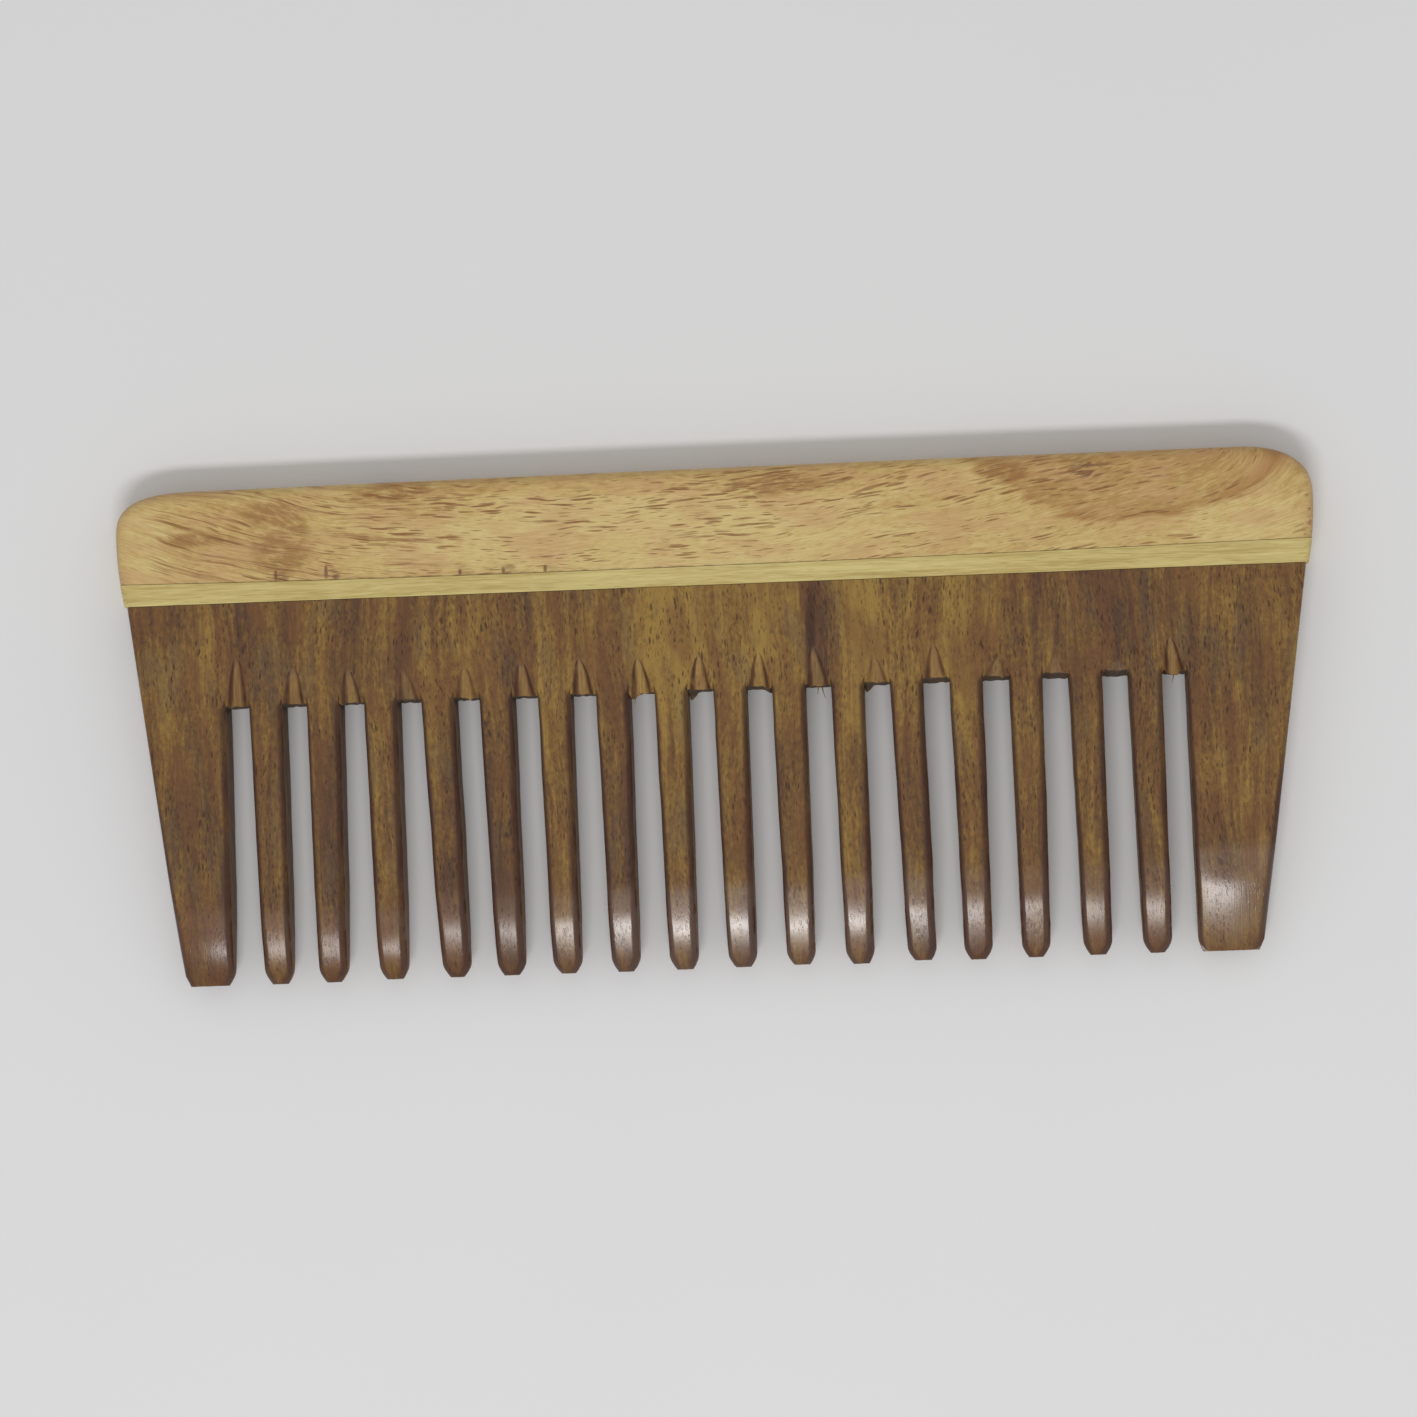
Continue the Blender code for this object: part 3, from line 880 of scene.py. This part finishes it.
# How golden the blade's wood is along the comb above the slots: 0 is plum, 1 is gold
STREAKS = (
    (-76, 0.3), (-69, 0.5), (-65, 0.45), (-60, 0.3), (-56, 0.45), (-53, 0.3), (-49, 0.5),
    (-46, 0.3), (-40.5, 0.45), (-38.3, 0.05), (-36, 0.5), (-33, 0.4), (-29, 0.6), (-26, 0.45),
    (-20, 0.6), (-14, 0.55), (-11.3, 0.3), (-8.5, 0.8), (-2, 0.9), (2, 0.65), (7, 0.95),
    (10.5, 0.6), (12.6, 0.0), (14.5, 0.35), (19, 1.0), (24, 0.65), (31, 0.8), (34, 0.45),
    (43, 0.35), (52, 0.1), (58, 0.42), (76, 0.5),
)

# The same for each band of wood below, from the left guard tooth to the right one
TOOTH_TONES = (
    0.3, 0.45, 0.3, 0.6, 0.25, 0.1, 0.5, 0.1, 0.55, 0.4, 0.35, 0.55, 0.35, 0.35, 0.55, 0.45, 0.4, 0.5,
)
LEFT_GUARD_TONE_X = -65.36

# How strongly the filed faces near the tips shine, along the comb
POLISH = (
    (-76, 0.3), (-63, 0.4), (-60, 0.45), (-50, 0.38), (-30, 0.38), (-22, 0.5), (-12, 0.75), (-4, 0.8),
    (16, 0.72), (26, 0.55), (34, 0.45), (52, 0.42), (58, 0.6), (76, 0.6),
)

# The pores: cells to a millimetre across, up and deep, their reach in sparse and in crowded
# places, and how dark they are
PORES = (
    (1.6, 0.38, 0.6, (0.12, 0.26), 1.0), (2.6, 0.6, 0.9, (0.16, 0.31), 0.8),
    (4.2, 1.0, 1.3, (0.20, 0.36), 0.5),
)


def blade_tone(n, grain_x, up, z):
    """How golden the blade is: broad streaks, narrower ones, and a fine mottle."""
    high = n.along_comb(grain_x, STREAKS)
    teeth = [(FIRST_TOOTH_X + PITCH * (band - 1), tone) for band, tone in enumerate(TOOTH_TONES)]
    teeth[0] = (LEFT_GUARD_TONE_X, TOOTH_TONES[0])
    tone = n.blend(n.span(up, 22.0, 35.0), n.along_comb(grain_x, teeth), high)
    patches = n.noise(grain_x * 0.2, up * 0.06, z * 0.1, 2.0, 0.6)
    narrow = n.noise(grain_x * 0.95, up * 0.05, z * 0.4, 2.0, 0.65)
    fine = n.noise(grain_x * 3.4, up * 0.22, z * 0.5, 3.0, 0.7)
    mottle = n.noise(grain_x * 2.2, up * 1.1, z * 0.9, 3.0, 0.7)
    for wave, strength in ((patches, 1.1), (narrow, 1.2), (fine, 0.9), (mottle, 1.25)):
        tone = tone + (wave - 0.5) * strength
    return tone, fine


def blade_pores(n, grain_x, up, z):
    """Fine dark dashes along the grain, in drifts, and a haze of finer ones."""
    crowd = n.noise(grain_x * 0.25, up * 0.12, 3.0, 1.0)
    pores = 0.0
    for across, along, deep, reach, strength in PORES:
        cells = n.cells(grain_x * across, up * along, z * deep)
        pore = n.span(n.span(crowd, 0.3, 0.7, *reach) - cells, 0.0, 0.1)
        pores = n.most(pore * strength, pores)
    return pores


def blade_casts(n, colour, grain_x, up):
    """Reddish and greyish casts, in patches, and the dark streak beside one slot."""
    cast = n.noise(grain_x * 0.35, up * 0.09, 7.0, 2.0)
    colour = n.mix(n.span(cast, 0.47, 0.64, 0.0, 0.55), colour, RED_CAST)
    colour = n.mix(n.span(cast, 0.46, 0.34, 0.0, 0.3), colour, GREY_CAST)
    streak = n.blob(grain_x + (up - 42.0) * -0.12, up, 12.4, 43.0, 0.9, 6.5)
    return n.mix(streak * 0.6, colour, DARK_STREAK)


def blade_wear_and_shade(n, colour, x, y, z, up, worn, wall):
    """Tips redder from wear and darker with painted shade, painted shade on the filed edges, sawn walls
    grey brown, and painted shade on the slot ends.
    """
    colour = n.mix(worn * 0.3, colour, RED_BROWN)
    # Painted shade on the steep faces at the very tips
    colour = n.mix(worn * n.span(up, 4.0, 0.8, 0.0, 0.25), colour, TIP_SHADE)
    # Painted shade over the filed edges, plum dark
    colour = n.mix(n.mark("edge_shade") * 0.85, colour, EDGE_SHADE_PLUM)
    sawn = n.noise(x * 0.5, y * 0.5, z * 2.4, 3.0, 0.65)
    sawn_colour = n.mix(n.span(sawn, 0.36, 0.64), SAWN_DEEP, SAWN_LIGHT)
    inner = n.span(n.size(x), 64.2, 63.2) * n.span(up, 1.5, 6.0)
    colour = n.mix(wall * n.span(inner, 0.0, 1.0, 0.2, 0.75), colour, sawn_colour)
    # Painted shade on the end walls of the slots, deep between the teeth
    slot_end_shade = n.span(up, ROOT_UP - 0.9, ROOT_UP - 0.2) * n.span(up, ROOT_UP + 4, ROOT_UP + 2)
    return n.mix(wall * (slot_end_shade * inner) * 0.65, colour, SLOT_END_SHADE)


def blade_wood():
    """Dark streaked wood, its grain along the teeth, with fine dark pores."""
    n = Nodes("blade_wood_streaked")
    x, y, z = n.where()
    up = y - TIPS_Y / MM
    wall, worn = n.mark("wall"), n.mark("worn")

    # The grain runs along the teeth and wanders a little
    drift = (n.noise(x * 0.06, y * 0.035, 0.0, 1.0) - 0.5) * 4.0
    ripple = (n.noise(x * 0.5, y * 0.15, z * 0.1, 1.0) - 0.5) * 0.8
    grain_x = x + y * 0.0105 + drift + ripple + z * 0.1
    tone, fine = blade_tone(n, grain_x, up, z)
    colour = n.ramp(tone, ((0.0, PLUM), (0.42, UMBER), (1.0, GOLD)))
    colour = blade_casts(n, colour, grain_x, up)
    pores = blade_pores(n, grain_x, up, z)
    colour = n.mix(pores * 0.72, colour, PORE)

    # File marks: lighter raw wood on the floor, partly painted light, and darker sides, partly painted
    # shade on their steep slopes
    fibre = n.noise(x * 5.0, y * 0.3, 1.0, 2.0)
    raw_and_lit = n.mix(n.span(fibre, 0.3, 0.7), RAW_AND_LIT_DEEP, RAW_AND_LIT_LIGHT)
    colour = n.mix(n.mark("cut_raw_and_lit") * 0.48, colour, raw_and_lit)
    colour = n.mix(n.mark("flank_stain_and_shade") * 0.86, colour, MARK_SIDE_STAIN_AND_SHADE)
    colour = blade_wear_and_shade(n, colour, x, y, z, up, worn, wall)

    grooves = n.noise(x * 6.0, y * 0.3, 4.0, 2.0)
    height = grooves * 0.6 + fibre * 0.3 + pores * -0.5
    roughness = n.span(worn, 0.0, 1.0, 0.43, 0.245) + (fine - 0.5) * 0.08 + wall * 0.25
    polish = n.along_comb(x, POLISH) * n.span(up, 1.0, 4.0, 0.6, 1.0)
    return n.finish(colour, roughness, height, 0.02, n.blend(n.span(worn, 0.0, 0.5), 0.22, polish))


# The figure of the back's wood
GRAIN_BENDS = ((-50.0, 8.0, 0.14), (8.0, 20.0, 0.115))  # where, how gently, how much
GRAIN_TILT = -0.055
EYE = (50.0, 62.4, 22.2, 7.6)  # middle and half size of the dark figure at the right end
RINGS_LOWERED = 45.2  # brings the eye's rings level with the lines beside it
TONGUE_SLOPE = 0.67  # the eye's left edge slants: up + slope * x is the same all along it
TONGUE_EDGE = (83.8, 86.0)

# Soft oval patches on the back: middle x, middle up, half width, half height, then what each
# adds to the paleness of the wood, or to how crowded its dashes are
PALER_PATCHES = (
    (-8, 55.0, 42, 8, 0.30), (67, 54.0, 10, 5, 0.30), (-73, 56, 5, 9, 0.25), (2, 62.0, 38, 2.6, -0.22),
    (-58, 57, 14, 7, -0.16), (-36, 61.5, 14, 3, -0.18),
)
CROWDED_PATCHES = (
    (5, 60.5, 20, 3.5, 0.26), (2, 54.5, 13, 3.5, 0.14), (44, 60, 14, 4, 0.18), (-30, 59, 22, 6, 0.14),
    (-72, 57, 8, 9, -0.3), (67, 54, 9, 4, -0.1),
)
BLOTCHES = (
    (-56, 59.6, 5.5, 2.2), (-54.5, 54.8, 4.5, 3.6), (-53, 57.5, 2.5, 3.0), (-40, 61.8, 6.0, 1.6),
    (36.5, 61.6, 4.0, 1.6), (8, 60.8, 9.0, 1.8), (-66, 56.6, 5.0, 1.2),
)
DARK_KNOT = (47.6, 61.2, 3.0, 1.5)

# The back's long lines: waves along and across the figure and deep, where a line begins and
# is full, and how strong it is. Its dashes: cells along, across and deep, and how strong
VESSEL_LINES = ((0.045, 2.9, 0.5, 0.575, 0.66, 1.0), (0.07, 4.6, 0.8, 0.58, 0.70, 0.7))
VESSEL_DASHES = ((0.15, 1.9, 0.9, 1.0), (0.22, 2.5, 1.1, 0.9), (0.36, 3.4, 1.4, 0.7))

# Dark marks standing on the joint: place along, height, and strength of the stain beside it
TICKS = ((-55.4, 0.75, 0.6), (-49.0, 1.0, 1.0), (-32.0, 0.45, 0.4), (-26.5, 0.5, 0.6), (-21.2, 0.5, 0.3))


def spine_figure(n, x, up, z):
    """A value that is the same along each line of growth, and the distance to the eye."""
    wander = (n.noise(x * 0.07, up * 0.2, z * 0.1, 2.0) - 0.5) * 2.2
    lines = x * GRAIN_TILT - up + wander
    for place, soft, bend in GRAIN_BENDS:
        away = x - place
        curve = n.root(away * away + soft * soft)
        lines = lines + curve * bend
    middle_x, middle_up, half_x, half_up = EYE
    eye_x = (x + wander * 0.5 - middle_x) * (1 / half_x)
    eye_up = (up - middle_up + wander * 0.4) * (1 / half_up)
    eye = n.root(eye_x * eye_x + eye_up * eye_up)
    rings = eye * half_up - RINGS_LOWERED
    to_eye = n.span(x, 46.0, 62.0) * n.span(eye, 0.5, 0.9)
    figure = n.blend(to_eye, lines, rings) + z * 0.3
    return figure, eye, wander


def spine_tone(n, x, up, z, figure, eye, slanted):
    """The back's broad colour: pale below the middle, browner along the top and in the eye."""
    broad = n.noise(x * 0.045, figure * 0.3, z * 0.1, 2.0, 0.6)
    bands = n.noise(x * 0.03, figure * 1.3, z * 0.5, 3.0, 0.65)
    mottle = n.noise(x * 0.7, figure * 1.8, z * 0.7, 3.0, 0.7)
    in_eye = n.span(eye, 1.03, 0.93) * n.span(slanted, *TONGUE_EDGE)
    level = broad * 0.6 + bands * 0.75 + (mottle - 0.5) * 1.3
    for *oval, strength in PALER_PATCHES:
        level = level + n.blob(x, up, *oval) * strength
    level = level + in_eye * -0.42
    colour = n.ramp(level, ((0.15, TAN_DEEP), (0.6, TAN), (1.0, TAN_LIGHT)))
    pink = n.noise(x * 0.12, up * 0.3, 4.0, 2.0)
    return n.mix(n.span(pink, 0.42, 0.66, 0.0, 0.55), colour, TAN_PINK)


def spine_stains(n, colour, x, up, figure, eye, slanted):
    """The eye's reddish rim and the spots along its edge, stained blotches and the dark knot."""
    near_rim = n.span(eye, 0.86, 0.98) * n.span(eye, 1.08, 1.0)
    near_rim = near_rim * n.span(slanted, *TONGUE_EDGE)
    spots = n.span(n.noise(x * 0.22, figure * 1.6, 5.0, 2.0, 0.6), 0.42, 0.62)
    at_tongue = n.span(slanted, 83.0, 85.0) * n.span(slanted, 90.0, 86.0) * spots
    rim = n.most(near_rim, at_tongue * n.span(eye, 1.25, 0.9))
    rim = rim * (spots * 0.7 + 0.3)
    colour = n.mix(rim * 0.75, colour, EYE_RIM)
    patchy = n.noise(x * 0.35, figure * 1.2, 9.0, 3.0, 0.65)
    blotches = 0.0
    for oval in BLOTCHES:
        blotches = n.most(blotches, n.blob(x, up, *oval))
    blotches = blotches * n.span(patchy, 0.34, 0.56)
    colour = n.mix(blotches * 0.8, colour, BLOTCH)
    strokes = n.span(n.noise(x * 0.5, figure * 2.6, 3.0, 1.0), 0.4, 0.56)
    dark_knot = n.blob(x, up, *DARK_KNOT) * strokes
    return n.mix(dark_knot * 0.85, colour, KNOT)


def spine_vessels(n, x, up, z, figure):
    """Red-brown lines at the left, and dashes further right, in drifts along the figure: 0 to 1."""
    drifts = n.noise(x * 0.06, figure * 0.45, z * 0.3, 2.0, 0.6)
    crowd = drifts
    for *oval, strength in CROWDED_PATCHES:
        crowd = crowd + n.blob(x, up, *oval) * strength
    crowd = n.span(crowd, 0.34, 0.74, 0.10, 0.34)
    leftward = n.span(x, -28.0, -42.0) * n.span(x, -73.0, -69.0)
    leftward = leftward * n.span(drifts, 0.35, 0.5, 0.35, 1.0)
    vessels = 0.0
    for along, across, deep, low, high, strength in VESSEL_LINES:
        wave = n.noise(x * along, figure * across, z * deep, 2.0, 0.5)
        line = n.span(wave, low, high) * strength * leftward
        vessels = n.most(line, vessels)
    for along, across, deep, strength in VESSEL_DASHES:
        cells = n.cells(x * along, figure * across, z * deep)
        line = n.span(crowd - cells, 0.0, 0.1)
        vessels = n.most(line * strength, vessels)
    faint = n.noise(x * 0.3, figure * 0.8, 2.0, 1.0)
    return vessels * n.span(faint, 0.3, 0.6, 0.5, 1.0)


def joint_ticks(n, x, up):
    """The short dark marks that stand on the joint with the strip, and their stains."""
    ticks = 0.0
    for place, tall, stain in TICKS:
        foot = float(strip_top(place))
        mark = n.blob(x, up, place, foot + tall, 0.32, tall * 1.15)
        beside = n.blob(x + up * 0.3, up, place + 0.9 + 0.3 * foot, foot + 0.6, 1.3, 0.95)
        strokes = n.span(n.noise(x * 0.5, up * 2.6, place, 1.0), 0.36, 0.56)
        beside = beside * strokes * stain
        ticks = n.most(ticks, n.most(mark, beside))
    return ticks


def spine_wood():
    """Light tan wood, its grain along the comb and bent at two places, with an eye at the right."""
    n = Nodes("spine_wood_figured")
    x, y, z = n.where()
    up = y - TIPS_Y / MM
    figure, eye, wander = spine_figure(n, x, up, z)
    slanted = up + x * TONGUE_SLOPE + wander * 0.8
    colour = spine_tone(n, x, up, z, figure, eye, slanted)
    colour = spine_stains(n, colour, x, up, figure, eye, slanted)
    vessels = spine_vessels(n, x, up, z, figure)
    fibre = n.noise(x * 0.35, figure * 6.0, z * 2.0, 3.0, 0.65)
    colour = n.mix(vessels * 0.9, colour, TAN_VESSEL)
    colour = n.mix(n.span(fibre, 0.42, 0.72, 0.0, 0.5), colour, TAN_DEEP)
    colour = n.mix(n.span(fibre, 0.5, 0.25, 0.0, 0.45), colour, TAN_LIGHT)

    # Marks and a dark broken line at the joint, and the ends browned by handling
    colour = n.mix(joint_ticks(n, x, up) * 0.75, colour, JOINT_TICK)
    from_joint = up - float(strip_top(-12.0))
    broken = n.span(n.noise(x * 0.35, 1.0, 6.0, 2.0), 0.42, 0.6)
    line = n.span(from_joint, 0.3, 0.1) * broken * n.span(x, 46.0, -20.0)
    colour = n.mix(line * 0.6, colour, JOINT_SHADE)
    ends = n.span(n.size(x), 60.0, 74.0, 0.12, 0.5)
    colour = n.mix(n.mark("worn") * ends, colour, HANDLED)

    height = vessels * -1.0 + fibre * 0.4
    roughness = fibre * 0.12 + 0.4
    return n.finish(colour, roughness, height, 0.03, 0.3)


def strip_wood():
    """Pale straw wood with faint streaks along it."""
    n = Nodes("strip_wood_pale")
    x, y, z = n.where()
    wander = n.noise(x * 0.06, y * 0.2, 2.0, 1.0) * 0.8
    line = y + wander + z * 0.25
    streaks = n.noise(x * 0.05, line * 1.5, z * 0.8, 3.0, 0.65)
    fibre = n.noise(x * 0.3, line * 6.0, z * 4.0, 3.0, 0.65)
    vessels = 0.0
    for along, across in ((0.14, 2.2), (0.3, 3.2)):
        cells = n.cells(x * along, line * across, z * 1.5)
        vessels = n.most(vessels, n.span(0.27 - cells, 0.0, 0.16))
    level = streaks * 0.8 + fibre * 0.45
    colour = n.ramp(level, ((0.48, STRAW), (0.78, STRAW_DEEP)))
    colour = n.mix(n.span(fibre, 0.48, 0.3, 0.0, 0.35), colour, STRAW_LIGHT)
    colour = n.mix(vessels * 0.3, colour, STRAW_VESSEL)
    colour = n.mix(n.mark("worn") * 0.3, colour, STRAW_WORN)
    height = vessels * -0.8 + fibre * 0.4
    return n.finish(colour, fibre * 0.12 + 0.4, height, 0.025, 0.3)


PAPER = (0.81, 0.81, 0.81)
PAPER_SHADE = (0.79, 0.79, 0.80)


def floor_paper():
    """The plain pale matt surface that the comb lies on."""
    n = Nodes("floor_paper")
    x, y, z = n.where()
    mottle = n.noise(x * 0.02, y * 0.02, z, 2.0)
    colour = n.mix(mottle, PAPER_SHADE, PAPER)
    tooth = n.noise(x * 2.5, y * 2.5, z, 2.0)
    return n.finish(colour, 0.85, tooth, 0.01, 0.2)


# ---------------------------------------------------------------- stage

FLOOR_HALF = 3.0  # metres
CAMERA_PLACE = (28.6, -16.7, 670.0)  # from the middle of the comb's upper face
CAMERA_TARGET = (-1.2, 1.17, 0.0)
CAMERA_TURN = math.radians(2.08)
LENS, SENSOR = 135.2, 36.0
LAMP_PLACE = (-0.035, -0.50, 0.87)  # metres
LAMP_SIZE = (0.42, 0.12)
LAMP_WATTS = 3.4
ROOM_COLOUR = (1.0, 0.995, 0.99, 1.0)
ROOM_STRENGTH = 0.56


def build_floor():
    mesh = bpy.data.meshes.new("floor")
    z, half = CAD_LOW.z, FLOOR_HALF
    corners = [(-half, -half, z), (half, -half, z), (half, half, z), (-half, half, z)]
    mesh.from_pydata(corners, [], [(0, 1, 2, 3)])
    mesh.materials.append(floor_paper())
    floor = bpy.data.objects.new("floor", mesh)
    bpy.context.scene.collection.objects.link(floor)


def build_camera():
    """Looks almost straight down, from a little right of the middle, the comb turned two degrees."""
    middle = Vector(((CAD_LOW.x + CAD_HIGH.x) / 2, (CAD_LOW.y + CAD_HIGH.y) / 2, CAD_HIGH.z))
    place = middle + Vector(CAMERA_PLACE) * MM
    target = middle + Vector(CAMERA_TARGET) * MM
    look = (target - place).normalized()
    up = Vector((math.sin(CAMERA_TURN), math.cos(CAMERA_TURN), 0.0))
    right = look.cross(up).normalized()
    above = right.cross(look)
    data = bpy.data.cameras.new("camera")
    data.sensor_width = SENSOR
    data.lens = LENS
    data.clip_start = 0.01
    camera = bpy.data.objects.new("camera", data)
    axes = Matrix((right, above, -look)).transposed()
    camera.matrix_world = Matrix.Translation(place) @ axes.to_4x4()
    bpy.context.scene.collection.objects.link(camera)
    bpy.context.scene.camera = camera


def build_lights():
    """One soft lamp on the side of the teeth, and even light from the room."""
    data = bpy.data.lights.new("lamp", "AREA")
    data.shape = "RECTANGLE"
    data.size, data.size_y = LAMP_SIZE
    data.energy = LAMP_WATTS
    light = bpy.data.objects.new("lamp", data)
    place = Vector(LAMP_PLACE)
    facing = (-place).to_track_quat("-Z", "Y").to_matrix().to_4x4()
    light.matrix_world = Matrix.Translation(place) @ facing
    bpy.context.scene.collection.objects.link(light)
    world = bpy.data.worlds.new("room")
    world.use_nodes = True
    background = world.node_tree.nodes["Background"]
    background.inputs["Color"].default_value = ROOM_COLOUR
    background.inputs["Strength"].default_value = ROOM_STRENGTH
    bpy.context.scene.world = world
    bpy.context.scene.view_settings.view_transform = "Standard"


build_camera()
build_floor()
build_lights()

FROM_TOP_OF_SPINE = (*NEAR_A_RIM, *np.arange(2.7, 12.3, 0.4), 12.45, 12.5)
FROM_TOP_OF_STRIP = (0.0, 0.05, *np.arange(0.2, 2.5, 0.25), 2.55, 2.6)
OUTLINE = spine_outline()

build_long_layer(
    "spine_wood_piece", lambda x: strip_top(x) + JOINT_LINE, top_edge, FROM_TOP_OF_SPINE,
    SPINE_ROUND, OUTLINE, "spine", spine_wood(),
)
build_long_layer(
    "pale_strip_piece", lambda x: BLADE_JOINT + JOINT_LINE + 0 * x, lambda x: strip_top(x) - JOINT_LINE,
    FROM_TOP_OF_STRIP, STRIP_ROUND, OUTLINE, "pale_strip", strip_wood(),
)
build_blade(blade_wood())
